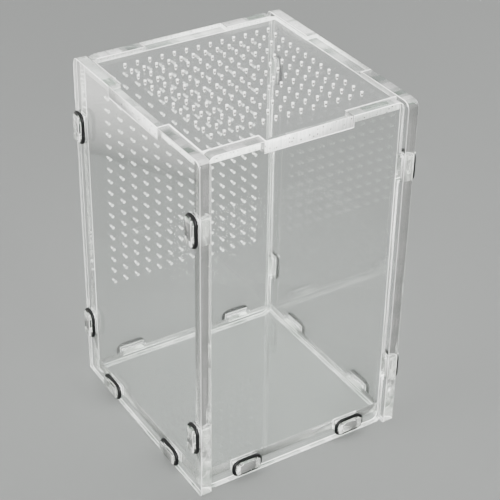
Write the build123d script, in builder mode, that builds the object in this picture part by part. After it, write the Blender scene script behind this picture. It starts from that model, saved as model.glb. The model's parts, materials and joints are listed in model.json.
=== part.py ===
from build123d import *
import os

# Clear insect terrarium of laser-cut sheets, knocked together with tabs, slots and rubber rings.
# The origin is under the middle of the box, on the surface that it stands on.
# X runs to the right, Y to the back and Z up. All lengths are in millimetres.

# Box over the outer faces of its four walls
box_width = 100.0
box_depth = 100.0
box_height = 162.0
sheet = 5.0

# Side walls run past the front and back walls
side_overhang = 2.5
wall_corner_radius = 3.5
side_foot_radius = 1.5

# Floor sheet stands clear of the surface below
floor_clearance = 4.0

# Tabs that pass through slots in the next wall
tab_width = 11.6
slot_play = 0.1
low_tab_level = 29.5
high_tab_drop = 31.0
floor_tab_spacing = 53.0

# Rubber ring that locks each tab, in a notched neck outside the wall. It clears the sheet's
# faces by ring_standoff and runs ring_overhang past the tab's edges.
cord_diameter = 1.7
ring_play = 0.05
ring_standoff = 0.15
ring_overhang = 1.65
ring_bend = 1.95
cord_sides = 8
notch_depth = 2.2
head_lip = 0.8

# Lid that drops between the raised ends of the walls
lid_tab_width = 40.0
lid_play = 0.3

# Vents, drawn with few sides because there are about four hundred of them
vent_diameter = 1.2
vent_sides = 5
vent_pitch = 5.8
vent_side_margin = 9.8
vent_top_margin = 14.3
vent_lowest = 47.5

# Faces and spans that several sheets share
half_width = box_width / 2
half_depth = box_depth / 2
inner_width = box_width - 2 * sheet
inner_depth = box_depth - 2 * sheet
rim_height = box_height - sheet
floor_middle = floor_clearance + sheet / 2
tab_levels = (low_tab_level, box_height - high_tab_drop)
floor_tab_places = (-floor_tab_spacing / 2, floor_tab_spacing / 2)

# Slot that takes a tab, and the part of the tab that stands outside the wall
slot_length = tab_width + 2 * slot_play
slot_width = sheet + 2 * slot_play
seat_length = cord_diameter + 2 * ring_play
tab_reach = sheet + seat_length + head_lip


def vent_count(free_span):
    """How many vents stand in a row along a free span."""
    return int(free_span / vent_pitch) + 1


def vent_field(columns, rows):
    """Square grid of vents through the sheet."""
    with GridLocations(vent_pitch, vent_pitch, columns, rows):
        RegularPolygon(vent_diameter / 2, vent_sides, mode=Mode.SUBTRACT)


def lid_notch():
    """Lowered middle of a wall's top edge, where a tab of the lid lies."""
    with Locations((0, box_height - sheet / 2)):
        Rectangle(lid_tab_width + 2 * lid_play, sheet, mode=Mode.SUBTRACT)


def floor_slots():
    """Two flat slots near a wall's foot, for tabs of the floor sheet."""
    with Locations([(place, floor_middle) for place in floor_tab_places]):
        Rectangle(slot_length, slot_width, mode=Mode.SUBTRACT)


def ring_necks(wall_face, tab_middles, along_x):
    """Notch both edges of each tab just outside the wall, at both ends of the sheet."""
    seat_middle = wall_face + seat_length / 2
    notch_middle = (tab_width - notch_depth) / 2
    for end in (-1, 1):
        for tab_middle in tab_middles:
            for edge in (-1, 1):
                along = end * seat_middle
                across = tab_middle + edge * notch_middle
                if along_x:
                    with Locations((along, across)):
                        Rectangle(seat_length, notch_depth, mode=Mode.SUBTRACT)
                else:
                    with Locations((across, along)):
                        Rectangle(notch_depth, seat_length, mode=Mode.SUBTRACT)


def side_wall(low_x):
    """Side sheet between low_x and low_x plus the sheet's thickness."""
    with BuildPart() as wall:
        with BuildSketch(Plane.YZ.offset(low_x)) as outline:
            with Locations((0, box_height / 2)):
                Rectangle(box_depth + 2 * side_overhang, box_height)
            fillet(outline.vertices().group_by(Axis.Y)[-1], wall_corner_radius)
            fillet(outline.vertices().group_by(Axis.Y)[0], side_foot_radius)
            lid_notch()
            floor_slots()
            for end in (-1, 1):
                for level in tab_levels:
                    with Locations((end * (half_depth - sheet / 2), level)):
                        Rectangle(slot_width, slot_length, mode=Mode.SUBTRACT)
        extrude(amount=sheet)
    return wall


def end_wall(low_y, vented):
    """Front or back sheet between low_y and low_y plus the sheet's thickness."""
    with BuildPart() as wall:
        with BuildSketch(Plane.XZ.offset(-low_y)) as outline:
            with Locations((0, box_height / 2)):
                Rectangle(inner_width, box_height)
            fillet(outline.vertices(), wall_corner_radius)
            with Locations([(0, level) for level in tab_levels]):
                Rectangle(inner_width + 2 * tab_reach, tab_width)
            ring_necks(half_width, tab_levels, along_x=True)
            lid_notch()
            floor_slots()
            if vented:
                columns = vent_count(inner_width - 2 * vent_side_margin)
                rows = vent_count(box_height - vent_top_margin - vent_lowest)
                top_row = box_height - vent_top_margin
                with Locations((0, top_row - (rows - 1) * vent_pitch / 2)):
                    vent_field(columns, rows)
        extrude(amount=-sheet)
    return wall


def rubber_ring(seat):
    """Ring stretched round a tab's neck, its corners bent in two steps.

    seat lies on the wall's outer face in the middle of the tab, with x along the
    tab's width and z out of the wall.
    """
    cord_radius = cord_diameter / 2
    bend = cord_radius + ring_bend
    long_half = tab_width / 2 + ring_overhang - cord_radius
    short_half = sheet / 2 + ring_standoff + cord_radius
    step = bend * (1 - 0.5**0.5)
    corner = [
        (long_half, short_half - bend),
        (long_half - step, short_half - step),
        (long_half - bend, short_half),
    ]
    points = [(long_half, 0)] + corner
    points += [(-u, v) for u, v in reversed(corner)]
    points += [(-u, -v) for u, v in corner]
    points += [(u, -v) for u, v in reversed(corner)]
    middle = seat.offset(ring_play + cord_radius)
    with BuildPart() as ring:
        with BuildLine(middle) as loop:
            Polyline(points, close=True)
        with BuildSketch(Plane(origin=loop.line @ 0, x_dir=middle.z_dir, z_dir=loop.line % 0)):
            RegularPolygon(cord_radius, cord_sides, major_radius=False, rotation=180 / cord_sides)
        sweep(path=loop.line, transition=Transition.RIGHT)
    return ring


def keep(piece, name):
    """Label a finished piece and write it to its own file."""
    piece.part.label = name
    export_step(piece.part, f"parts/{name}.step")


os.makedirs("parts", exist_ok=True)

# Walls
keep(side_wall(-half_width), "left_wall")
keep(side_wall(half_width - sheet), "right_wall")
keep(end_wall(-half_depth, vented=False), "front_wall")
keep(end_wall(half_depth - sheet, vented=True), "back_wall")

# Floor sheet with two tabs through each wall
with BuildPart() as floor:
    with BuildSketch(Plane.XY.offset(floor_clearance)):
        Rectangle(inner_width, inner_depth)
        for place in floor_tab_places:
            with Locations((0, place)):
                Rectangle(inner_width + 2 * tab_reach, tab_width)
            with Locations((place, 0)):
                Rectangle(tab_width, inner_depth + 2 * tab_reach)
        ring_necks(half_width, floor_tab_places, along_x=True)
        ring_necks(half_depth, floor_tab_places, along_x=False)
    extrude(amount=sheet)
keep(floor, "floor_sheet")

# Lid with one wide tab over each wall
with BuildPart() as lid:
    with BuildSketch(Plane.XY.offset(rim_height)):
        lid_width = inner_width - 2 * lid_play
        lid_depth = inner_depth - 2 * lid_play
        Rectangle(lid_width, lid_depth)
        Rectangle(box_width, lid_tab_width)
        Rectangle(lid_tab_width, box_depth)
        vent_field(vent_count(lid_width - 2 * vent_side_margin), vent_count(lid_depth - 2 * vent_side_margin))
    extrude(amount=sheet)
keep(lid, "lid")

# Rings on the tabs that come out of the side walls
for side, side_name in ((-1, "left"), (1, "right")):
    outwards = (side, 0, 0)
    for end, end_name in ((-1, "front"), (1, "back")):
        for level, level_name in zip(tab_levels, ("low", "high")):
            spot = (side * half_width, end * (half_depth - sheet / 2), level)
            seat = Plane(origin=spot, x_dir=(0, 0, 1), z_dir=outwards)
            keep(rubber_ring(seat), f"ring_{side_name}_{end_name}_{level_name}")
        spot = (side * half_width, end * floor_tab_spacing / 2, floor_middle)
        seat = Plane(origin=spot, x_dir=(0, 1, 0), z_dir=outwards)
        keep(rubber_ring(seat), f"ring_{side_name}_floor_{end_name}")

# Rings on the floor tabs that come out of the front and back walls
for end, end_name in ((-1, "front"), (1, "back")):
    for side, side_name in ((-1, "left"), (1, "right")):
        spot = (side * floor_tab_spacing / 2, end * half_depth, floor_middle)
        seat = Plane(origin=spot, x_dir=(1, 0, 0), z_dir=(0, end, 0))
        keep(rubber_ring(seat), f"ring_{end_name}_floor_{side_name}")
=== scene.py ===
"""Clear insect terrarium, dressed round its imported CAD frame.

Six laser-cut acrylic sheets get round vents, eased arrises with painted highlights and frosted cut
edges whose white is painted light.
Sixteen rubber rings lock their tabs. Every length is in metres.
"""

import json
import math

import bmesh
import bpy
from bpy.props import FloatProperty, FloatVectorProperty, IntProperty, PointerProperty
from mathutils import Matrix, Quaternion, Vector
from mathutils.geometry import delaunay_2d_cdt


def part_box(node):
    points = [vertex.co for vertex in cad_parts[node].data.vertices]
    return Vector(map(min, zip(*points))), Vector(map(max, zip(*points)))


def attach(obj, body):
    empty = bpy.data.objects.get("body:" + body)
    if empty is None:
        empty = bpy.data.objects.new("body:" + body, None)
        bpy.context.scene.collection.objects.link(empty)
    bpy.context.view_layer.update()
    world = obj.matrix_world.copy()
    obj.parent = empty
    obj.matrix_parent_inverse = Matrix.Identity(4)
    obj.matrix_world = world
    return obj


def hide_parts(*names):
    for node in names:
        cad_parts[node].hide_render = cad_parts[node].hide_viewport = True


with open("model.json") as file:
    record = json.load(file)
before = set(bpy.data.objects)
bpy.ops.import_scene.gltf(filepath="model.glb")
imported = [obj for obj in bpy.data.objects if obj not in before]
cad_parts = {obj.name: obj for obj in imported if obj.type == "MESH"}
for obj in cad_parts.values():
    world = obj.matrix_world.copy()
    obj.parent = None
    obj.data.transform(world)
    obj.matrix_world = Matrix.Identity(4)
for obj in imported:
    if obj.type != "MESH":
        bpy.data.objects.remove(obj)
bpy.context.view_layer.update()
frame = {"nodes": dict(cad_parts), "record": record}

bl_info = {
    "name": "Insect terrarium",
    "version": (1, 0, 0),
    "blender": (4, 5, 0),
    "location": "3D View > Sidebar > Terrarium",
    "description": "Builds the sheets, rubber rings and stage of a clear insect terrarium",
    "category": "Add Mesh",
}

BODY_OF = {
    node: body
    for body, nodes in frame["record"]["behaviour"]["bodies"].items()
    for node in nodes
}

# Faces of a sheet piece use these material slots. The edge, arris and vent slots carry painted light,
# and the last slot painted shade.
CLEAR_FACE, CUT_EDGE, CLEAR_EDGE, ARRIS, SOFT_ARRIS, VENT_WALL, PAINTED_VENT_SHADE = range(7)

# Refraction of acrylic and of rubber, and what a sheet leaves of the light that passes it
ACRYLIC_IOR = 1.49
RUBBER_IOR = 1.52
SHEET_FILTER = (0.955, 0.97, 0.96)
EDGE_FILTER = (0.95, 0.97, 0.95)

# Share of an edge's frost that is left where it came out polished
POLISHED_SHARE = 0.3

# Spacing of the slow bands across a cut, and depths of the finest marks
BAND_PITCH = 0.0018
MARK_DEPTH = 0.00001
GRAIN_DEPTH = 0.00003
TOOTH_DEPTH = 0.0001

# How many times each pattern repeats in a metre, along its own axes where there are three
SCRATCHES_ONE_WAY = (70.0, 2600.0, 300.0)
SCRATCHES_OTHER_WAY = (2100.0, 60.0, 300.0)
HANDLED_PLACES = 45.0
SPECKS = 420.0
SETTLED_PLACES = 90.0
SMUDGES = 28.0
FINE_LINES = (1300.0, 60.0, 1.0)
BAND_WOBBLES = 160.0
BAND_PLACES = 55.0
LONG_RUNS = (75.0, 3.0, 1.0)
STREAKS = (14.0, 1500.0, 1.0)
SCORCHED_DOTS = 420.0
SCORCHED_PLACES = 260.0
RUBBER_GRAIN = 5200.0
PAPER_TOOTH = 900.0

# Leans in radians of the two sets of scratches and of the fine lines
SCRATCH_LEANS = (0.42, -0.25)
LINE_LEAN = 0.03

# Levels of a pattern between which its mark comes or goes
HAIRLINE_EDGE = (0.03, 0.07)
SPECK_EDGE = (0.05, 0.11)
DOT_EDGE = (0.11, 0.15)
HANDLED_EDGE = (0.45, 0.7)
SETTLED_EDGE = (0.42, 0.68)
SCORCHED_EDGE = (0.42, 0.54)
BAND_EDGE = (0.35, 1.0)
BAND_PLACE_EDGE = (0.4, 0.62)
LINE_EDGE = (0.42, 0.72)
HALF_CLEAR_EDGE = (0.46, 0.475)
CLEAREST_EDGE = (0.56, 0.57)
STREAK_EDGE = (0.46, 0.50)
HAZE_EDGE = (0.35, 0.75)
VEIL_EDGE = (0.45, 0.85)
GLEAM_EDGE = (0.3, 0.7)

# How strong the marks are: swing of the bands, weakest band, band depth against line depth,
# clearness of the two kinds of run, and roughness of hazes, scratches and rubber
BAND_SWING = 5.0
WEAKEST_BAND = 0.15
BAND_DEPTH = 0.6
HALF_CLEAR = 0.55
CLEAREST_MORE = 0.45
SMUDGE_HAZE = (0.004, 0.03)
MARK_HAZE = 0.22
DULL_SCRATCH = 0.25
THICKEST_VEIL = 0.06
RUBBER_GLEAM = (0.34, 0.44)

# A Mix node's sockets for colours, by number because their names repeat
MIX_COLOURS_IN = (6, 7)
MIX_COLOUR_OUT = 2

# Columns in which a tree's nodes are laid out
NODES_PER_COLUMN = 4
COLUMN_WIDTH = 220
ROW_HEIGHT = 260

# Share of an edge's run that has to be rise for the edge to be upright
MOSTLY_RISE = 0.8

# Sheets whose vents were cut from their low face, where +X, +Y and +Z are high
CUT_FROM_LOW_FACE = {"back_wall"}

# Share of a vent's depth where its belly and the patch of painted shade start and end
BELLY_SHARES = (0.26, 0.68)

# Sheet whose vents get a dark patch of painted shade, turned towards the camera, with the middle and
# the width of that patch as shares of a turn round the vent
SHEET_WITH_PAINTED_VENT_SHADE = "lid"
PAINTED_VENT_SHADE_MIDDLE = 0.31
PAINTED_VENT_SHADE_WIDTH = 0.24

# Tolerances in metres, square metres and shares for reading a sheet's outline from its node,
# and the decimal places by which its points are put in order
SAME_POINT = 1e-6
LARGEST_VENT = 2e-6
AREA_SLIP = 1e-3
ORDER_DIGITS = 5

# Edges that turn more than this are shaded sharp
SHARP_ANGLE = math.radians(28)

# Most of a ring's half width that its bend may take
LARGEST_BEND = 0.9

# Camera solved from the photograph's edges, for a square picture
AIM_POINT = Vector((0.00456, -0.00129, 0.07823))
CAMERA_PLACE = Vector((-0.28221, -0.45507, 0.42673))
CAMERA_ROLL = math.radians(0.958)
CAMERA_LENS = 105.82
SENSOR_WIDTH = 36.0
CLIP_START, CLIP_END = 0.01, 20.0

# Lit card, from its near lower corner to its far one. Its light peaks low down and dims above.
CARD_NEAR = Vector((-0.238, 0.066, 0.0))
CARD_FAR = Vector((-0.085, 0.340, 0.0))
CARD_HEIGHT = 0.26
CARD_PEAK = 0.16
CARD_TOP_SHARE = 0.35
CARD_COLOUR = (1.0, 0.985, 0.95, 1.0)

# Softboxes: place, aim, width and height
SOFTBOXES = {
    "overhead": ((0.1, 0.25, 1.5), (0.0, 0.0, 0.05), 1.6, 1.2),
    "key": ((-0.8, -1.2, 0.56), (0.0, 0.0, 0.08), 1.0, 0.8),
    "fill": ((1.3, -0.2, 0.8), (0.0, 0.0, 0.08), 0.8, 0.8),
}

# Colours of the even light low down and overhead, and the heights between which they blend
SKY_LOW = (0.72, 0.74, 0.75)
SKY_HIGH = (1.0, 1.0, 1.0)
SKY_SPAN = (-0.1, 0.8)

# Sides of the round floor
FLOOR_SIDES = 96


# Sizes and colours that a user would change


def length_setting(name, description, default, low, high, precision=5):
    """A length in metres."""
    return FloatProperty(
        name=name,
        description=description,
        default=default,
        min=low,
        max=high,
        precision=precision,
        subtype="DISTANCE",
        unit="LENGTH",
    )


def strength_setting(name, description, default, high, subtype="NONE"):
    """A power or a strength, from nothing up to its limit."""
    return FloatProperty(
        name=name,
        description=description,
        default=default,
        min=0.0,
        max=high,
        subtype=subtype,
    )


def count_setting(name, description, default, low, high):
    """A number of sides or steps."""
    return IntProperty(name=name, description=description, default=default, min=low, max=high)


def colour_setting(name, description, default):
    """A plain colour."""
    return FloatVectorProperty(
        name=name,
        description=description,
        default=default,
        min=0.0,
        max=1.0,
        size=3,
        subtype="COLOR",
    )


class SheetSizes(bpy.types.PropertyGroup):
    """Sizes of the acrylic sheets' cut details."""

    vent_diameter: length_setting(
        "Vent entry", "Width of each vent on the face that the laser cut from", 0.00106, 0.0004, 0.003
    )
    vent_belly: length_setting(
        "Vent belly", "Width of each vent half way through the sheet", 0.00114, 0.0003, 0.003
    )
    vent_exit: length_setting(
        "Vent exit", "Width of each vent on the face where the laser came out", 0.0007, 0.0003, 0.003
    )
    vent_sides: count_setting("Vent sides", "How many sides a vent's wall has", 16, 8, 48)
    kerf: length_setting(
        "Kerf", "Width taken off each cut, for a hair of air between sheets", 0.00004, 0.00001, 0.0001
    )
    arris: length_setting(
        "Arris", "Width of the eased line between a face and a cut edge", 0.00022, 0.00005, 0.0005
    )
    vent_lip: length_setting(
        "Vent lip", "Width of the melted lip round a vent's entry", 0.00014, 0.00002, 0.0005
    )
    lip_depth: length_setting(
        "Lip depth", "Depth of a vent's lips, and width of the exit's lip", 0.00006, 0.00002, 0.0002
    )


class RingSizes(bpy.types.PropertyGroup):
    """Sizes of the rubber rings."""

    bend_radius: length_setting(
        "Corner bend", "Bend of the cord's middle line round a tab's corner", 0.0029, 0.001, 0.004
    )
    mould_line: length_setting(
        "Mould line", "Height of the mould's line, inside and outside", 0.00004, 0.0, 0.0001
    )
    cord_sides: count_setting("Cord sides", "How many sides the round cord has", 24, 12, 48)
    corner_steps: count_setting("Corner steps", "Steps in each of a ring's four bends", 8, 3, 24)


class FinishColours(bpy.types.PropertyGroup):
    """Colours of the acrylic, the cut edges, the rubber and the stage."""

    acrylic: colour_setting("Acrylic", "Faint tint of the clear sheet", (0.985, 0.995, 0.988))
    # Painted light: this white stands in for the light that a clear cut edge gathers and reflects
    painted_white_cut_edge: colour_setting("Cut edge", "Frosted white of a laser-cut edge", (0.96, 0.955, 0.93))
    cut_shade: colour_setting(
        "Cut shade", "Grey-green of the fine lines across a cut edge", (0.60, 0.64, 0.60)
    )
    # Painted see-through shade: dark grey-green that stands in for what shows through a clear cut edge
    painted_see_through_shade: colour_setting(
        "See-through", "Grey-green where a cut edge came out polished and clear", (0.23, 0.28, 0.24)
    )
    # Also the ground of the dark patch of painted shade in the lid's vents
    scorch: colour_setting("Scorch", "Brown of scorched dots and pierce marks", (0.05, 0.036, 0.026))
    rubber: colour_setting("Rubber", "Black of the rings", (0.002, 0.002, 0.0022))
    dust: colour_setting("Dust", "Pale dust on the rubber", (0.06, 0.057, 0.054))
    stage: colour_setting("Stage", "Plain pale floor", (0.128, 0.132, 0.128))


class StageSizes(bpy.types.PropertyGroup):
    """Size of the floor and power of the soft lights."""

    floor_radius: length_setting(
        "Floor radius", "Reach of the round pale floor", 4.0, 0.5, 20.0, precision=2
    )
    overhead_power: strength_setting(
        "Overhead power", "Power of the large softbox overhead", 36.0, 200.0, "POWER"
    )
    key_power: strength_setting(
        "Key power", "Power of the softbox at the front left", 80.0, 200.0, "POWER"
    )
    fill_power: strength_setting(
        "Fill power", "Power of the softbox at the right", 14.0, 200.0, "POWER"
    )
    sky_strength: strength_setting("Sky strength", "Strength of the even light all round", 1.1, 4.0)
    card_strength: strength_setting(
        "Card strength", "Brightness of the lit card that the left wall mirrors", 3.4, 20.0
    )


# Shader trees


def shader_node(tree, kind, label, **settings):
    """A labelled node in a tree, with its plain settings."""
    node = tree.nodes.new(kind)
    node.label = label
    for setting, value in settings.items():
        setattr(node, setting, value)
    return node


def arrange(tree):
    """Lays a tree's nodes out in columns, in the order in which they were made."""
    for place, node in enumerate(tree.nodes):
        column, row = divmod(place, NODES_PER_COLUMN)
        node.location = (COLUMN_WIDTH * column, -ROW_HEIGHT * row)


def arithmetic(tree, operation, first, second, label):
    """A Math node fed by sockets or numbers, as its output."""
    node = shader_node(tree, "ShaderNodeMath", label, operation=operation)
    for socket, value in zip(node.inputs, (first, second)):
        if isinstance(value, bpy.types.NodeSocket):
            tree.links.new(value, socket)
        elif value is not None:
            socket.default_value = value
    return node.outputs["Value"]


def ramp(tree, source, low, high, to_low, to_high, label):
    """A Map Range node, as its output."""
    node = shader_node(tree, "ShaderNodeMapRange", label)
    tree.links.new(source, node.inputs["Value"])
    node.inputs["From Min"].default_value = low
    node.inputs["From Max"].default_value = high
    node.inputs["To Min"].default_value = to_low
    node.inputs["To Max"].default_value = to_high
    return node.outputs["Result"]


def stretched(tree, vector, scale, turn, label):
    """A vector scaled, and turned about its third axis, as an output."""
    node = shader_node(tree, "ShaderNodeMapping", label)
    tree.links.new(vector, node.inputs["Vector"])
    node.inputs["Scale"].default_value = scale
    node.inputs["Rotation"].default_value = (0.0, 0.0, turn)
    return node.outputs["Vector"]


def noise(tree, vector, scale, detail, label):
    """A Noise texture's value, as an output."""
    node = shader_node(tree, "ShaderNodeTexNoise", label)
    tree.links.new(vector, node.inputs["Vector"])
    node.inputs["Scale"].default_value = scale
    node.inputs["Detail"].default_value = detail
    return node.outputs["Fac"]


def cells(tree, vector, scale, label, dimensions="3D"):
    """A Voronoi texture's distance to the nearest cell middle, as an output."""
    node = shader_node(tree, "ShaderNodeTexVoronoi", label, voronoi_dimensions=dimensions)
    tree.links.new(vector, node.inputs["Vector"])
    node.inputs["Scale"].default_value = scale
    return node.outputs["Distance"]


def new_group(name, inputs, outputs):
    """An empty shader group with its named sockets, and its two end nodes."""
    group = bpy.data.node_groups.new(name, "ShaderNodeTree")
    for label, kind, default in inputs:
        socket = group.interface.new_socket(name=label, in_out="INPUT", socket_type=kind)
        if default is not None:
            socket.default_value = default
    for label, kind in outputs:
        group.interface.new_socket(name=label, in_out="OUTPUT", socket_type=kind)
    start = group.nodes.new("NodeGroupInput")
    end = group.nodes.new("NodeGroupOutput")
    return group, start, end


def handling_wear():
    """Group for hairline scratches, dust specks and finger smudges."""
    found = bpy.data.node_groups.get("Handling wear")
    if found:
        return found
    group, start, end = new_group(
        "Handling wear",
        [
            ("Place", "NodeSocketVector", None),
            ("Scratch amount", "NodeSocketFloat", 0.5),
            ("Dust amount", "NodeSocketFloat", 0.5),
        ],
        [
            ("Scratches", "NodeSocketFloat"),
            ("Dust", "NodeSocketFloat"),
            ("Smudges", "NodeSocketFloat"),
        ],
    )
    place = start.outputs["Place"]
    one_lean, other_lean = SCRATCH_LEANS
    one_way = stretched(group, place, SCRATCHES_ONE_WAY, one_lean, "Scratches one way")
    other_way = stretched(group, place, SCRATCHES_OTHER_WAY, other_lean, "Scratches the other way")
    first_set = cells(group, one_way, 1.0, "First set")
    first = ramp(group, first_set, *HAIRLINE_EDGE, 1.0, 0.0, "First hairlines")
    second_set = cells(group, other_way, 1.0, "Second set")
    second = ramp(group, second_set, *HAIRLINE_EDGE, 1.0, 0.0, "Second hairlines")
    both = arithmetic(group, "MAXIMUM", first, second, "Both sets")
    handled = noise(group, place, HANDLED_PLACES, 2.0, "Where it was handled")
    patches = ramp(group, handled, *HANDLED_EDGE, 0.0, 1.0, "Handled patches")
    patched = arithmetic(group, "MULTIPLY", both, patches, "Scratches in patches")
    scratches = arithmetic(group, "MULTIPLY", patched, start.outputs["Scratch amount"], "Scratches")
    speck_cells = cells(group, place, SPECKS, "Speck cells")
    specks = ramp(group, speck_cells, *SPECK_EDGE, 1.0, 0.0, "Specks")
    settling = noise(group, place, SETTLED_PLACES, 3.0, "Where dust settled")
    settled = ramp(group, settling, *SETTLED_EDGE, 0.0, 1.0, "Settled")
    dusty = arithmetic(group, "MULTIPLY", specks, settled, "Dust in patches")
    dust = arithmetic(group, "MULTIPLY", dusty, start.outputs["Dust amount"], "Dust")
    smudges = noise(group, place, SMUDGES, 4.0, "Finger smudges")
    group.links.new(scratches, end.inputs["Scratches"])
    group.links.new(dust, end.inputs["Dust"])
    group.links.new(smudges, end.inputs["Smudges"])
    arrange(group)
    return group


def cut_marks():
    """Group for the fine lines, slow bands, polished runs and scorched dots of a laser's cut. Its
    clear runs and streaks also mask the painted see-through shade.
    """
    found = bpy.data.node_groups.get("Cut marks")
    if found:
        return found
    group, start, end = new_group(
        "Cut marks",
        [
            ("Place", "NodeSocketVector", None),
            ("Fine lines", "NodeSocketFloat", 1.0),
            ("Bands", "NodeSocketFloat", 1.0),
            ("Clear runs", "NodeSocketFloat", 1.0),
            ("Clear streaks", "NodeSocketFloat", 0.0),
            ("Scorching", "NodeSocketFloat", 0.0),
        ],
        [
            ("Shade", "NodeSocketFloat"),
            ("Clear", "NodeSocketFloat"),
            ("Scorch", "NodeSocketFloat"),
            ("Height", "NodeSocketFloat"),
        ],
    )
    place = start.outputs["Place"]
    fine_place = stretched(group, place, FINE_LINES, LINE_LEAN, "Fine lines across the cut")
    fine = noise(group, fine_place, 1.0, 3.0, "Fine lines")
    split = shader_node(group, "ShaderNodeSeparateXYZ", "Along and through")
    group.links.new(place, split.inputs["Vector"])
    turns = arithmetic(group, "MULTIPLY", split.outputs["X"], math.tau / BAND_PITCH, "Band turns")
    wobbling = noise(group, place, BAND_WOBBLES, 1.0, "Band wobble")
    wobble = arithmetic(group, "MULTIPLY", wobbling, BAND_SWING, "Wobble")
    uneven = arithmetic(group, "ADD", turns, wobble, "Uneven turns")
    swing = arithmetic(group, "SINE", uneven, None, "Bands")
    bands = ramp(group, swing, *BAND_EDGE, 0.0, 1.0, "Narrow bands")
    strength = noise(group, place, BAND_PLACES, 1.0, "Band strength")
    fade = ramp(group, strength, *BAND_PLACE_EDGE, WEAKEST_BAND, 1.0, "Bands come and go")
    fine_shade = ramp(group, fine, *LINE_EDGE, 0.0, 1.0, "Fine shade")
    fine_part = arithmetic(group, "MULTIPLY", fine_shade, start.outputs["Fine lines"], "Fine part")
    band_part = arithmetic(group, "MULTIPLY", bands, fade, "Faded bands")
    band_share = arithmetic(group, "MULTIPLY", band_part, start.outputs["Bands"], "Band part")
    shade = arithmetic(group, "MAXIMUM", fine_part, band_share, "Shade")
    # Polished runs and streaks along the cut: smoother, and where see-through shade is painted
    run_place = stretched(group, place, LONG_RUNS, 0.0, "Long runs")
    run_noise = noise(group, run_place, 1.0, 2.0, "Runs")
    half_clear = ramp(group, run_noise, *HALF_CLEAR_EDGE, 0.0, HALF_CLEAR, "Half-clear runs")
    most_clear = ramp(group, run_noise, *CLEAREST_EDGE, 0.0, CLEAREST_MORE, "Clearest runs")
    runs = arithmetic(group, "ADD", half_clear, most_clear, "Polished runs")
    streak_place = stretched(group, place, STREAKS, 0.0, "Along the cut")
    streak_noise = noise(group, streak_place, 1.0, 2.0, "Streaks")
    streaks = ramp(group, streak_noise, *STREAK_EDGE, 0.0, 1.0, "Streaks along the cut")
    in_runs = arithmetic(group, "MULTIPLY", runs, start.outputs["Clear runs"], "Clear in runs")
    all_along = arithmetic(group, "MULTIPLY", streaks, start.outputs["Clear streaks"], "Clear streaks")
    clear = arithmetic(group, "MAXIMUM", in_runs, all_along, "Clear")
    scorch_cells = cells(group, place, SCORCHED_DOTS, "Scorch cells", "2D")
    dots = ramp(group, scorch_cells, *DOT_EDGE, 1.0, 0.0, "Scorched dots")
    scorching = noise(group, place, SCORCHED_PLACES, 1.0, "Where it scorched")
    where = ramp(group, scorching, *SCORCHED_EDGE, 0.0, 1.0, "Scorched runs")
    spots = arithmetic(group, "MULTIPLY", dots, where, "Dots in runs")
    scorch = arithmetic(group, "MULTIPLY", spots, start.outputs["Scorching"], "Scorch")
    lowered = arithmetic(group, "MULTIPLY", band_share, BAND_DEPTH, "Band depth")
    height = arithmetic(group, "SUBTRACT", fine, lowered, "Height")
    group.links.new(shade, end.inputs["Shade"])
    group.links.new(clear, end.inputs["Clear"])
    group.links.new(scorch, end.inputs["Scorch"])
    group.links.new(height, end.inputs["Height"])
    arrange(group)
    return group


def place_group(tree, group, vector, **amounts):
    """A shader group put in a material, with its own amounts."""
    node = shader_node(tree, "ShaderNodeGroup", group.name, node_tree=group)
    tree.links.new(vector, node.inputs["Place"])
    for name, value in amounts.items():
        node.inputs[name.replace("_", " ").capitalize()].default_value = value
    return node


def mixed_colour(tree, factor, first, second, label):
    """Two colours mixed by a mask. Each is a socket or a plain colour."""
    node = shader_node(tree, "ShaderNodeMix", label, data_type="RGBA")
    tree.links.new(factor, node.inputs["Factor"])
    for number, source in zip(MIX_COLOURS_IN, (first, second)):
        if isinstance(source, bpy.types.NodeSocket):
            tree.links.new(source, node.inputs[number])
        else:
            node.inputs[number].default_value = (*source, 1.0)
    return node.outputs[MIX_COLOUR_OUT]


def new_material(name):
    """A material with an empty tree, and its output node."""
    material = bpy.data.materials.new(name)
    material.use_nodes = True
    tree = material.node_tree
    tree.nodes.clear()
    return material, tree, tree.nodes.new("ShaderNodeOutputMaterial")


def sheet_place(tree):
    """The sheet's own place in metres: across a face, or along and through a cut edge."""
    return shader_node(tree, "ShaderNodeUVMap", "Place on the sheet", uv_map="Sheet").outputs["UV"]


def bump(tree, height, strength, depth, label):
    """A Bump node's normal, as an output."""
    node = shader_node(tree, "ShaderNodeBump", label)
    tree.links.new(height, node.inputs["Height"])
    node.inputs["Strength"].default_value = strength
    node.inputs["Distance"].default_value = depth
    return node.outputs["Normal"]


def let_lamps_through(tree, shader, tint, share, end):
    """Ends a tree with the shader, but lets a share of each lamp's light pass straight on."""
    path = shader_node(tree, "ShaderNodeLightPath", "Rays to lamps")
    passing = shader_node(tree, "ShaderNodeBsdfTransparent", "Light that gets through")
    passing.inputs["Color"].default_value = (*tint, 1.0)
    choice = shader_node(tree, "ShaderNodeMixShader", "Clear to lamps")
    factor = path.outputs["Is Shadow Ray"]
    if share < 1.0:
        factor = arithmetic(tree, "MULTIPLY", factor, share, "Share that gets through")
    tree.links.new(factor, choice.inputs["Fac"])
    tree.links.new(shader.outputs["BSDF"], choice.inputs[1])
    tree.links.new(passing.outputs["BSDF"], choice.inputs[2])
    tree.links.new(choice.outputs["Shader"], end.inputs["Surface"])


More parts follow.
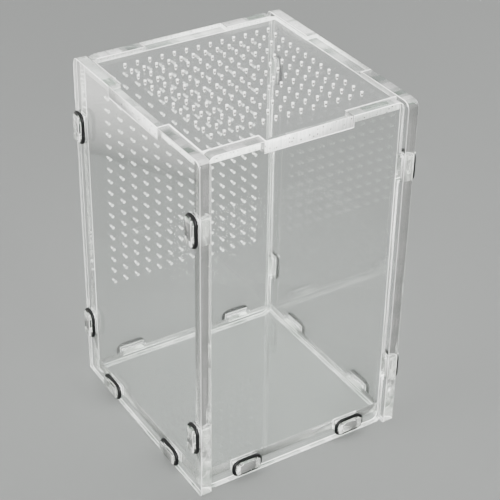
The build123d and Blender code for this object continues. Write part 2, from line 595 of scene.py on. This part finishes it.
def clear_acrylic():
    """Glossy clear sheet with hairline scratches, a little dust and faint smudges."""
    found = bpy.data.materials.get("Clear acrylic")
    if found:
        return found
    colours = bpy.context.scene.terrarium_colours
    material, tree, end = new_material("Clear acrylic")
    place = sheet_place(tree)
    wear = place_group(tree, handling_wear(), place, scratch_amount=0.12, dust_amount=0.08)
    scratches, dust = wear.outputs["Scratches"], wear.outputs["Dust"]
    marks = arithmetic(tree, "ADD", scratches, dust, "Scratches and dust")
    smudge = ramp(tree, wear.outputs["Smudges"], *HAZE_EDGE, *SMUDGE_HAZE, "Smudge haze")
    haze = arithmetic(tree, "MULTIPLY", marks, MARK_HAZE, "Haze of the marks")
    roughness = arithmetic(tree, "ADD", smudge, haze, "Haze")
    shader = shader_node(tree, "ShaderNodeBsdfPrincipled", "Acrylic")
    shader.inputs["Base Color"].default_value = (*colours.acrylic, 1.0)
    shader.inputs["IOR"].default_value = ACRYLIC_IOR
    shader.inputs["Transmission Weight"].default_value = 1.0
    tree.links.new(roughness, shader.inputs["Roughness"])
    tree.links.new(bump(tree, marks, 0.03, MARK_DEPTH, "Scratch depth"), shader.inputs["Normal"])
    let_lamps_through(tree, shader, SHEET_FILTER, 1.0, end)
    arrange(tree)
    return material


def edge_with_painted_light(
    name, clearness, frost, lines=0.0, runs=0.0, streaks=0.0, dots=0.0, scorched=False
):
    """Laser-cut surface: bright, partly clear, lined across the cut and scorched in dots. Its white
    matt share is painted light, and its clear runs are smoother and carry painted see-through shade.
    """
    found = bpy.data.materials.get(name)
    if found:
        return found
    colours = bpy.context.scene.terrarium_colours
    material, tree, end = new_material(name)
    place = sheet_place(tree)
    marks = place_group(
        tree,
        cut_marks(),
        place,
        fine_lines=lines,
        bands=lines,
        clear_runs=runs,
        clear_streaks=streaks,
        scorching=dots,
    )
    wear = place_group(tree, handling_wear(), place, dust_amount=0.5)
    # The white ground, over the matt share that the clearness leaves, is painted light; the scorch
    # ground makes the patch of painted shade in the lid's vents
    ground = colours.scorch if scorched else colours.painted_white_cut_edge
    lined = mixed_colour(tree, marks.outputs["Shade"], ground, colours.cut_shade, "Lined ground")
    # Painted see-through shade in the clear runs and streaks, over the lined ground
    polished = mixed_colour(tree, marks.outputs["Clear"], lined, colours.painted_see_through_shade, "Polished runs")
    surface = mixed_colour(tree, marks.outputs["Scorch"], polished, colours.scorch, "Scorched dots")
    shader = shader_node(tree, "ShaderNodeBsdfPrincipled", "Frosted edge")
    tree.links.new(surface, shader.inputs["Base Color"])
    shader.inputs["IOR"].default_value = ACRYLIC_IOR
    shader.inputs["Transmission Weight"].default_value = clearness
    polish = ramp(tree, marks.outputs["Clear"], 0.0, 1.0, frost, frost * POLISHED_SHARE, "Polish")
    roughness = arithmetic(tree, "ADD", polish, wear.outputs["Dust"], "Frost")
    tree.links.new(roughness, shader.inputs["Roughness"])
    normal = bump(tree, marks.outputs["Height"], 0.3, MARK_DEPTH, "Line depth")
    tree.links.new(normal, shader.inputs["Normal"])
    let_lamps_through(tree, shader, EDGE_FILTER, clearness, end)
    arrange(tree)
    return material


def painted_white_cut_edge():
    """Level edge of a wall: half clear, with long polished runs. Its white half is painted light, and
    its runs carry painted see-through shade.
    """
    return edge_with_painted_light("Laser-cut edge", clearness=0.6, frost=0.16, lines=0.4, runs=1.0, dots=0.4)


def clear_edge():
    """Upright edge of a wall, a slot's face or the floor sheet's edge: clear, with streaks of painted
    see-through shade.
    """
    return edge_with_painted_light("Clear edge", clearness=0.85, frost=0.1, lines=0.2, runs=0.4, streaks=0.35)


def faint_painted_highlight_arris():
    """Eased line along a clear edge of a wall: half clear, a fainter painted highlight."""
    return edge_with_painted_light("Soft arris", clearness=0.66, frost=0.3)


def lid_edge():
    """Edge of the lid: whiter, with few clear runs. Its white is painted light."""
    return edge_with_painted_light("Frosted lid edge", clearness=0.15, frost=0.25, lines=0.8, dots=1.0)


def painted_highlight_arris():
    """Eased line along an edge, and the melted lip of a vent: a painted highlight, bright and matt."""
    return edge_with_painted_light("Bright arris", clearness=0.1, frost=0.4)


def painted_highlight_vent_wall():
    """Wall of a vent in the lid: white, and brighter than the edges. This white is a painted
    highlight.
    """
    return edge_with_painted_light("Vent wall", clearness=0.15, frost=0.4, lines=0.2)


def dim_vent_wall():
    """Wall of a vent in the back wall: half clear. Its white share is painted light, dimmer than in
    the lid.
    """
    return edge_with_painted_light("Dim vent wall", clearness=0.72, frost=0.3, lines=0.4)


def painted_vent_shade_material():
    """Dark patch of painted shade on a vent's wall, turned towards the camera, for the dark look into
    the vent.
    """
    return edge_with_painted_light("Painted vent shade", clearness=0.1, frost=0.4, scorched=True)


def black_rubber():
    """Moulded black rubber with a soft gleam, fine grain and settled dust."""
    found = bpy.data.materials.get("Black rubber")
    if found:
        return found
    colours = bpy.context.scene.terrarium_colours
    material, tree, end = new_material("Black rubber")
    place = shader_node(tree, "ShaderNodeTexCoord", "Place on the ring").outputs["Object"]
    wear = place_group(tree, handling_wear(), place, scratch_amount=0.7, dust_amount=1.0)
    grain = noise(tree, place, RUBBER_GRAIN, 2.0, "Moulded grain")
    veil = ramp(tree, wear.outputs["Smudges"], *VEIL_EDGE, 0.0, THICKEST_VEIL, "Dust veil")
    dust = arithmetic(tree, "MAXIMUM", veil, wear.outputs["Dust"], "All dust")
    shader = shader_node(tree, "ShaderNodeBsdfPrincipled", "Rubber")
    dusty = mixed_colour(tree, dust, colours.rubber, colours.dust, "Dusty black")
    tree.links.new(dusty, shader.inputs["Base Color"])
    worn = arithmetic(tree, "MULTIPLY", wear.outputs["Scratches"], DULL_SCRATCH, "Dull scratches")
    gloss = ramp(tree, grain, *GLEAM_EDGE, *RUBBER_GLEAM, "Soft gleam")
    roughness = arithmetic(tree, "ADD", gloss, worn, "Gleam and scratches")
    tree.links.new(roughness, shader.inputs["Roughness"])
    shader.inputs["IOR"].default_value = RUBBER_IOR
    shader.inputs["Specular IOR Level"].default_value = 0.14
    shader.inputs["Sheen Weight"].default_value = 0.01
    shader.inputs["Sheen Roughness"].default_value = 0.4
    tree.links.new(bump(tree, grain, 0.25, GRAIN_DEPTH, "Grain depth"), shader.inputs["Normal"])
    tree.links.new(shader.outputs["BSDF"], end.inputs["Surface"])
    arrange(tree)
    return material


def pale_floor():
    """Plain pale matt floor."""
    colours = bpy.context.scene.terrarium_colours
    material, tree, end = new_material("Pale floor")
    place = shader_node(tree, "ShaderNodeTexCoord", "Place on the floor").outputs["Object"]
    tooth = noise(tree, place, PAPER_TOOTH, 2.0, "Paper tooth")
    shader = shader_node(tree, "ShaderNodeBsdfPrincipled", "Floor")
    shader.inputs["Base Color"].default_value = (*colours.stage, 1.0)
    shader.inputs["Roughness"].default_value = 0.85
    shader.inputs["Specular IOR Level"].default_value = 0.2
    tree.links.new(bump(tree, tooth, 0.05, TOOTH_DEPTH, "Tooth depth"), shader.inputs["Normal"])
    tree.links.new(shader.outputs["BSDF"], end.inputs["Surface"])
    arrange(tree)
    return material


# Sheets


def area_of(loop):
    """Signed area of a closed flat outline."""
    return sum(a.cross(b) for a, b in zip(loop, loop[1:] + loop[:1])) / 2


def rounded_off(point):
    """A point's place, to put points in the same order on every run."""
    return tuple(round(value, ORDER_DIGITS) for value in point)


def flat_outlines(node):
    """Outlines of a sheet's flat face, the sheet's thin axis, and its two faces' places."""
    low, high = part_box(node)
    size = high - low
    thin = min(range(3), key=lambda axis: size[axis])
    across, up = (thin + 1) % 3, (thin + 2) % 3
    solid = bmesh.new()
    solid.from_mesh(frame["nodes"][node].data)
    bmesh.ops.remove_doubles(solid, verts=solid.verts, dist=SAME_POINT)
    on_face = [
        face
        for face in solid.faces
        if all(abs(corner.co[thin] - high[thin]) < SAME_POINT for corner in face.verts)
    ]
    members = set(on_face)
    following = {}
    for face in on_face:
        for corner in face.loops:
            neighbours = [other for other in corner.edge.link_faces if other in members]
            if len(neighbours) == 1:
                following[corner.vert] = corner.link_loop_next.vert
    outlines = []
    while following:
        start, here = following.popitem()
        loop = [start]
        while here is not start:
            loop.append(here)
            here = following.pop(here)
        points = [Vector((vert.co[across], vert.co[up])) for vert in loop]
        first = min(range(len(points)), key=lambda number: rounded_off(points[number]))
        outlines.append(points[first:] + points[:first])
    solid.free()
    if not outlines:
        raise RuntimeError(f"{node} has no flat face to read")
    outlines.sort(key=lambda points: rounded_off(points[0]))
    return outlines, thin, low[thin], high[thin]


def rounded_vent(outline, diameter, sides):
    """Round outline in place of a vent's few sides, running the way that a hole runs."""
    middle = sum(outline, Vector((0.0, 0.0))) / len(outline)
    radius = diameter / 2
    steps = [-math.tau * step / sides for step in range(sides)]
    return [middle + radius * Vector((math.cos(turn), math.sin(turn))) for turn in steps]


def set_in(loop, distance):
    """Outline moved into the sheet's material, which lies on its left."""
    moved = []
    for before, here, after in zip(loop[-1:] + loop[:-1], loop, loop[1:] + loop[:1]):
        came = (here - before).normalized()
        goes = (after - here).normalized()
        first = Vector((-came.y, came.x))
        second = Vector((-goes.y, goes.x))
        moved.append(here + (first + second) * distance / (1 + first.dot(second)))
    return moved


def cap_triangles(loops):
    """Triangles between an outline and its holes, as numbers into the loops' joined points."""
    points, edges, hole_of = [], [], []
    for number, loop in enumerate(loops):
        first = len(points)
        count = len(loop)
        points += loop
        edges += [(first + step, first + (step + 1) % count) for step in range(count)]
        hole_of += [number if area_of(loop) < 0 else None] * count
    made, _, faces, sources, _, _ = delaunay_2d_cdt(points, edges, [], 1, SAME_POINT / 100)
    if len(made) != len(points):
        raise RuntimeError("a sheet's outlines cross each other")
    triangles = []
    for face in faces:
        corners = [sources[corner][0] for corner in face]
        holes = {hole_of[corner] for corner in corners}
        if len(holes) == 1 and None not in holes:
            continue
        triangles.append(corners)
    covered = sum(abs(area_of([points[corner] for corner in corners])) for corners in triangles)
    wanted = sum(area_of(loop) for loop in loops)
    if abs(covered - wanted) > AREA_SLIP * wanted:
        raise RuntimeError("a sheet's face wasn't covered")
    return triangles


def edge_profile(outline, low, high, sizes):
    """Loops down a sheet's edge with their levels, and the material slot of each strip between."""
    wall = set_in(outline, sizes.kerf)
    rim = set_in(outline, sizes.kerf + sizes.arris)
    levels = [(rim, high), (wall, high - sizes.arris), (wall, low + sizes.arris), (rim, low)]
    return levels, (ARRIS, CUT_EDGE, ARRIS)


def vent_profile(outline, low, high, sizes, from_low_face):
    """Loops down a vent, which narrows below its belly."""
    entry = rounded_vent(outline, sizes.vent_diameter, sizes.vent_sides)
    belly = rounded_vent(outline, sizes.vent_belly, sizes.vent_sides)
    leaving = rounded_vent(outline, sizes.vent_exit, sizes.vent_sides)
    way = -1 if from_low_face else 1
    near, far = (low, high) if from_low_face else (high, low)
    belly_start, belly_end = (near + (far - near) * share for share in BELLY_SHARES)
    levels = [
        (set_in(entry, sizes.vent_lip), near),
        (entry, near - way * sizes.lip_depth),
        (belly, belly_start),
        (belly, belly_end),
        (leaving, far + way * sizes.lip_depth),
        (set_in(leaving, sizes.lip_depth), far),
    ]
    # The belly's strip takes the patch of painted shade where it faces the camera
    slots = (ARRIS, VENT_WALL, PAINTED_VENT_SHADE, VENT_WALL, VENT_WALL)
    return (levels[::-1], slots[::-1]) if from_low_face else (levels, slots)


def takes_painted_vent_shade(turn):
    """Whether this turn round the vents takes the patch of painted shade."""
    apart = abs(turn - PAINTED_VENT_SHADE_MIDDLE) % 1
    return min(apart, 1 - apart) < PAINTED_VENT_SHADE_WIDTH / 2


def own_slot(slot, clear, has_painted_vent_shade):
    """Material slot of one facet, where an edge came out clear or a vent takes the patch of painted
    shade.
    """
    if slot == PAINTED_VENT_SHADE and not has_painted_vent_shade:
        return VENT_WALL
    if clear:
        return {CUT_EDGE: CLEAR_EDGE, ARRIS: SOFT_ARRIS}.get(slot, slot)
    return slot


def build_sheet(node):
    """Acrylic sheet in place of its node: clear faces, eased arrises with painted highlights and
    frosted cut edges whose white is painted light.
    """
    sizes = bpy.context.scene.terrarium_sheets
    outlines, thin, low, high = flat_outlines(node)
    across, up = (thin + 1) % 3, (thin + 2) % 3
    mesh = bmesh.new()
    layer = mesh.loops.layers.uv.new("Sheet")

    def corner_at(point, level):
        place = Vector((0.0, 0.0, 0.0))
        place[across], place[up], place[thin] = point.x, point.y, level
        return mesh.verts.new(place)

    top_loops, bottom_loops, top_corners, bottom_corners = [], [], [], []
    for outline in outlines:
        if abs(area_of(outline)) < LARGEST_VENT:
            levels, slots = vent_profile(outline, low, high, sizes, node in CUT_FROM_LOW_FACE)
            polished = False
        else:
            levels, slots = edge_profile(outline, low, high, sizes)
            polished = node == "floor_sheet" or area_of(outline) < 0
        rings = [[corner_at(point, level) for point in loop] for loop, level in levels]
        top_loops.append(levels[0][0])
        bottom_loops.append(levels[-1][0])
        top_corners += rings[0]
        bottom_corners += rings[-1]
        wall = levels[1][0]
        count = len(wall)
        run = [0.0]
        for here, after in zip(wall, wall[1:] + wall[:1]):
            run.append(run[-1] + (after - here).length)
        heights = [level for _, level in levels]
        for upper, lower, above, below, slot in zip(rings, rings[1:], heights, heights[1:], slots):
            for step in range(count):
                following = (step + 1) % count
                face = mesh.faces.new((upper[step], lower[step], lower[following], upper[following]))
                rise = abs(lower[following].co.z - lower[step].co.z)
                clear = polished or rise > MOSTLY_RISE * (run[step + 1] - run[step])
                # The lid's vents take the patch of painted shade on the facets turned towards the
                # camera
                has_painted_vent_shade = node == SHEET_WITH_PAINTED_VENT_SHADE and takes_painted_vent_shade((step + 0.5) / count)
                face.material_index = own_slot(slot, clear, has_painted_vent_shade)
                face.smooth = True
                start, end = run[step], run[step + 1]
                places = ((start, above), (start, below), (end, below), (end, above))
                for corner, place in zip(face.loops, places):
                    corner[layer].uv = place
    for loops, corners, turned in ((top_loops, top_corners, 1), (bottom_loops, bottom_corners, -1)):
        for triangle in cap_triangles(loops):
            face = mesh.faces.new([corners[number] for number in triangle[::turned]])
            face.material_index = CLEAR_FACE
            for corner in face.loops:
                corner[layer].uv = (corner.vert.co[across], corner.vert.co[up])
    edge, vent = (lid_edge(), painted_highlight_vent_wall()) if node == "lid" else (painted_white_cut_edge(), dim_vent_wall())
    soft = clear_edge() if node == "floor_sheet" else faint_painted_highlight_arris()
    edges = (edge, clear_edge(), painted_highlight_arris(), soft)
    materials = (clear_acrylic(), *edges, vent, painted_vent_shade_material())
    return finished_piece("acrylic_" + node, mesh, node, materials)


def finished_piece(name, mesh, node, materials):
    """Closes a mesh into a piece that stands for its node and rides on the node's body."""
    if any(not edge.is_manifold for edge in mesh.edges):
        raise RuntimeError(f"{name} isn't closed")
    for edge in mesh.edges:
        rounded = all(face.smooth for face in edge.link_faces)
        edge.smooth = rounded and edge.calc_face_angle() < SHARP_ANGLE
    data = bpy.data.meshes.new(name)
    mesh.to_mesh(data)
    mesh.free()
    for material in materials:
        data.materials.append(material)
    piece = bpy.data.objects.new(name, data)
    bpy.context.scene.collection.objects.link(piece)
    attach(piece, BODY_OF[node])
    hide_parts(node)
    return piece


# Rubber rings


def ring_path(half_long, half_wide, sizes):
    """Middle line of a ring stretched round a tab: points and outward directions."""
    bend = min(sizes.bend_radius, half_wide * LARGEST_BEND)
    path = []
    corners = ((1, 1, 0.0), (-1, 1, 0.25), (-1, -1, 0.5), (1, -1, 0.75))
    for side_long, side_wide, start in corners:
        middle = Vector((side_long * (half_long - bend), side_wide * (half_wide - bend)))
        for step in range(sizes.corner_steps + 1):
            turn = math.tau * (start + 0.25 * step / sizes.corner_steps)
            outward = Vector((math.cos(turn), math.sin(turn)))
            path.append((middle + bend * outward, outward))
    return path


def build_ring(node):
    """Round rubber cord in place of a ring node, with the mould's line inside and out."""
    sizes = bpy.context.scene.terrarium_rings
    low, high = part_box(node)
    size, middle = high - low, (low + high) / 2
    thin = min(range(3), key=lambda axis: size[axis])
    others = [(thin + 1) % 3, (thin + 2) % 3]
    long_axis, wide_axis = sorted(others, key=lambda axis: -size[axis])
    radius = size[thin] / 2
    path = ring_path(size[long_axis] / 2 - radius, size[wide_axis] / 2 - radius, sizes)
    mirrored = (long_axis, wide_axis) != tuple(others)
    mesh = bmesh.new()
    hoops = []
    for point, outward in path:
        hoop = []
        for side in range(sizes.cord_sides):
            turn = math.tau * side / sizes.cord_sides
            on_line = side in (0, sizes.cord_sides // 2)
            reach = radius if on_line else radius - sizes.mould_line
            flat = point + outward * (reach * math.cos(turn))
            place = Vector((0.0, 0.0, 0.0))
            place[long_axis] = middle[long_axis] + flat.x
            place[wide_axis] = middle[wide_axis] + flat.y
            place[thin] = middle[thin] + reach * math.sin(turn)
            hoop.append(mesh.verts.new(place))
        hoops.append(hoop)
    for hoop, following in zip(hoops, hoops[1:] + hoops[:1]):
        for side in range(sizes.cord_sides):
            after = (side + 1) % sizes.cord_sides
            corners = (hoop[side], hoop[after], following[after], following[side])
            face = mesh.faces.new(corners[::-1] if mirrored else corners)
            face.smooth = True
    return finished_piece("rubber_" + node, mesh, node, (black_rubber(),))


# Stage


def glowing_card():
    """Lit card beside the box, brightest near its foot, for the left wall to mirror."""
    stage = bpy.context.scene.terrarium_stage
    material, tree, end = new_material("Lit card")
    place = shader_node(tree, "ShaderNodeUVMap", "Place on the card", uv_map="Card").outputs["UV"]
    split = shader_node(tree, "ShaderNodeSeparateXYZ", "Height up the card")
    tree.links.new(place, split.inputs["Vector"])
    rise = ramp(tree, split.outputs["Y"], 0.0, CARD_PEAK, 0.0, 1.0, "Soft foot")
    fall = ramp(tree, split.outputs["Y"], CARD_PEAK, 1.0, 1.0, CARD_TOP_SHARE, "Dimmer above")
    glow = arithmetic(tree, "MULTIPLY", rise, fall, "Glow")
    strength = arithmetic(tree, "MULTIPLY", glow, stage.card_strength, "Brightness")
    shader = shader_node(tree, "ShaderNodeEmission", "Glow of the card")
    shader.inputs["Color"].default_value = CARD_COLOUR
    tree.links.new(strength, shader.inputs["Strength"])
    tree.links.new(shader.outputs["Emission"], end.inputs["Surface"])
    arrange(tree)
    return material


def build_card():
    """The lit card itself, which the camera doesn't see."""
    mesh = bmesh.new()
    layer = mesh.loops.layers.uv.new("Card")
    rise = Vector((0.0, 0.0, CARD_HEIGHT))
    corners = [CARD_NEAR, CARD_FAR, CARD_FAR + rise, CARD_NEAR + rise]
    face = mesh.faces.new([mesh.verts.new(corner) for corner in corners])
    for corner, place in zip(face.loops, ((0, 0), (1, 0), (1, 1), (0, 1))):
        corner[layer].uv = place
    data = bpy.data.meshes.new("lit_card")
    mesh.to_mesh(data)
    mesh.free()
    data.materials.append(glowing_card())
    card = bpy.data.objects.new("lit_card", data)
    card.visible_camera = False
    card.visible_diffuse = False
    card.visible_shadow = False
    bpy.context.scene.collection.objects.link(card)


def build_floor():
    """Flat round floor that the box stands on."""
    radius = bpy.context.scene.terrarium_stage.floor_radius
    mesh = bmesh.new()
    bmesh.ops.create_circle(
        mesh, cap_ends=True, cap_tris=True, segments=FLOOR_SIDES, radius=radius
    )
    data = bpy.data.meshes.new("pale_floor")
    mesh.to_mesh(data)
    mesh.free()
    data.materials.append(pale_floor())
    floor = bpy.data.objects.new("pale_floor", data)
    bpy.context.scene.collection.objects.link(floor)


def softbox(name, power):
    """A large soft lamp that the camera doesn't see."""
    place, target, width, height = SOFTBOXES[name]
    lamp = bpy.data.lights.new(name, "AREA")
    lamp.shape = "RECTANGLE"
    lamp.size = width
    lamp.size_y = height
    lamp.energy = power
    holder = bpy.data.objects.new(name, lamp)
    holder.location = place
    holder.rotation_mode = "QUATERNION"
    holder.rotation_quaternion = (Vector(target) - Vector(place)).to_track_quat("-Z", "Y")
    holder.visible_camera = False
    bpy.context.scene.collection.objects.link(holder)


def build_sky():
    """Even pale light from all round, a little brighter overhead."""
    stage = bpy.context.scene.terrarium_stage
    world = bpy.data.worlds.new("Studio")
    world.use_nodes = True
    tree = world.node_tree
    tree.nodes.clear()
    end = tree.nodes.new("ShaderNodeOutputWorld")
    direction = shader_node(tree, "ShaderNodeTexCoord", "Direction").outputs["Generated"]
    split = shader_node(tree, "ShaderNodeSeparateXYZ", "Height in the sky")
    tree.links.new(direction, split.inputs["Vector"])
    height = ramp(tree, split.outputs["Z"], *SKY_SPAN, 0.0, 1.0, "Up the sky")
    sky = mixed_colour(tree, height, SKY_LOW, SKY_HIGH, "Sky")
    light = shader_node(tree, "ShaderNodeBackground", "Even light")
    tree.links.new(sky, light.inputs["Color"])
    light.inputs["Strength"].default_value = stage.sky_strength
    tree.links.new(light.outputs["Background"], end.inputs["Surface"])
    bpy.context.scene.world = world


def build_camera():
    """Camera at the photograph's angle, for a square picture."""
    view = bpy.data.cameras.new("photo_camera")
    view.sensor_width = SENSOR_WIDTH
    view.lens = CAMERA_LENS
    view.clip_start = CLIP_START
    view.clip_end = CLIP_END
    camera = bpy.data.objects.new("photo_camera", view)
    camera.location = CAMERA_PLACE
    camera.rotation_mode = "QUATERNION"
    level = (AIM_POINT - CAMERA_PLACE).to_track_quat("-Z", "Y")
    camera.rotation_quaternion = level @ Quaternion((0.0, 0.0, 1.0), CAMERA_ROLL)
    bpy.context.scene.collection.objects.link(camera)
    bpy.context.scene.camera = camera


# Operators


class TERRARIUM_OT_side_walls(bpy.types.Operator):
    """Builds the left and right walls"""

    bl_idname = "terrarium.side_walls"
    bl_label = "Side walls"

    def execute(self, context):
        build_sheet("left_wall")
        build_sheet("right_wall")
        return {"FINISHED"}


class TERRARIUM_OT_front_wall(bpy.types.Operator):
    """Builds the front wall, which is tabbed into the side walls"""

    bl_idname = "terrarium.front_wall"
    bl_label = "Front wall"

    def execute(self, context):
        build_sheet("front_wall")
        return {"FINISHED"}


class TERRARIUM_OT_back_wall(bpy.types.Operator):
    """Builds the back wall with its field of vents"""

    bl_idname = "terrarium.back_wall"
    bl_label = "Back wall"

    def execute(self, context):
        build_sheet("back_wall")
        return {"FINISHED"}


class TERRARIUM_OT_floor_sheet(bpy.types.Operator):
    """Builds the floor sheet, which is tabbed into all four walls"""

    bl_idname = "terrarium.floor_sheet"
    bl_label = "Floor sheet"

    def execute(self, context):
        build_sheet("floor_sheet")
        return {"FINISHED"}


class TERRARIUM_OT_lid(bpy.types.Operator):
    """Builds the lift-off lid with its field of vents"""

    bl_idname = "terrarium.lid"
    bl_label = "Lid"

    def execute(self, context):
        build_sheet("lid")
        return {"FINISHED"}


class TERRARIUM_OT_rings(bpy.types.Operator):
    """Builds the rubber ring on every tab's neck"""

    bl_idname = "terrarium.rings"
    bl_label = "Rubber rings"

    def execute(self, context):
        for node in sorted(frame["nodes"]):
            if node.startswith("ring_"):
                build_ring(node)
        return {"FINISHED"}


class TERRARIUM_OT_stage(bpy.types.Operator):
    """Builds the pale floor, the soft lights and the camera"""

    bl_idname = "terrarium.stage"
    bl_label = "Stage"

    def execute(self, context):
        stage = context.scene.terrarium_stage
        build_floor()
        build_card()
        build_sky()
        softbox("overhead", stage.overhead_power)
        softbox("key", stage.key_power)
        softbox("fill", stage.fill_power)
        build_camera()
        return {"FINISHED"}


class TERRARIUM_PT_sidebar(bpy.types.Panel):
    """Lists what builds the terrarium, with its sizes and colours"""

    bl_idname = "TERRARIUM_PT_sidebar"
    bl_label = "Insect terrarium"
    bl_space_type = "VIEW_3D"
    bl_region_type = "UI"
    bl_category = "Terrarium"

    def draw(self, context):
        layout = self.layout
        for operator in BUILD_ORDER:
            layout.operator(operator.bl_idname)
        for holder, (group, heading) in SETTINGS.items():
            box = layout.box()
            box.label(text=heading)
            settings = getattr(context.scene, holder)
            for name in group.__annotations__:
                box.prop(settings, name)


BUILD_ORDER = (
    TERRARIUM_OT_side_walls,
    TERRARIUM_OT_front_wall,
    TERRARIUM_OT_back_wall,
    TERRARIUM_OT_floor_sheet,
    TERRARIUM_OT_lid,
    TERRARIUM_OT_rings,
    TERRARIUM_OT_stage,
)

SETTINGS = {
    "terrarium_sheets": (SheetSizes, "Sheets"),
    "terrarium_rings": (RingSizes, "Rings"),
    "terrarium_colours": (FinishColours, "Finishes"),
    "terrarium_stage": (StageSizes, "Stage"),
}


def register():
    """Registers the settings, the operators and the panel."""
    for name, (group, _) in SETTINGS.items():
        bpy.utils.register_class(group)
        setattr(bpy.types.Scene, name, PointerProperty(type=group))
    for operator in BUILD_ORDER:
        bpy.utils.register_class(operator)
    bpy.utils.register_class(TERRARIUM_PT_sidebar)


def unregister():
    """Takes the panel, the operators and the settings out again."""
    bpy.utils.unregister_class(TERRARIUM_PT_sidebar)
    for operator in reversed(BUILD_ORDER):
        bpy.utils.unregister_class(operator)
    for name, (group, _) in reversed(SETTINGS.items()):
        delattr(bpy.types.Scene, name)
        bpy.utils.unregister_class(group)


def main():
    """Builds the whole terrarium."""
    register()
    bpy.ops.terrarium.side_walls()
    bpy.ops.terrarium.front_wall()
    bpy.ops.terrarium.back_wall()
    bpy.ops.terrarium.floor_sheet()
    bpy.ops.terrarium.lid()
    bpy.ops.terrarium.rings()
    bpy.ops.terrarium.stage()


if __name__ == "__main__":
    main()
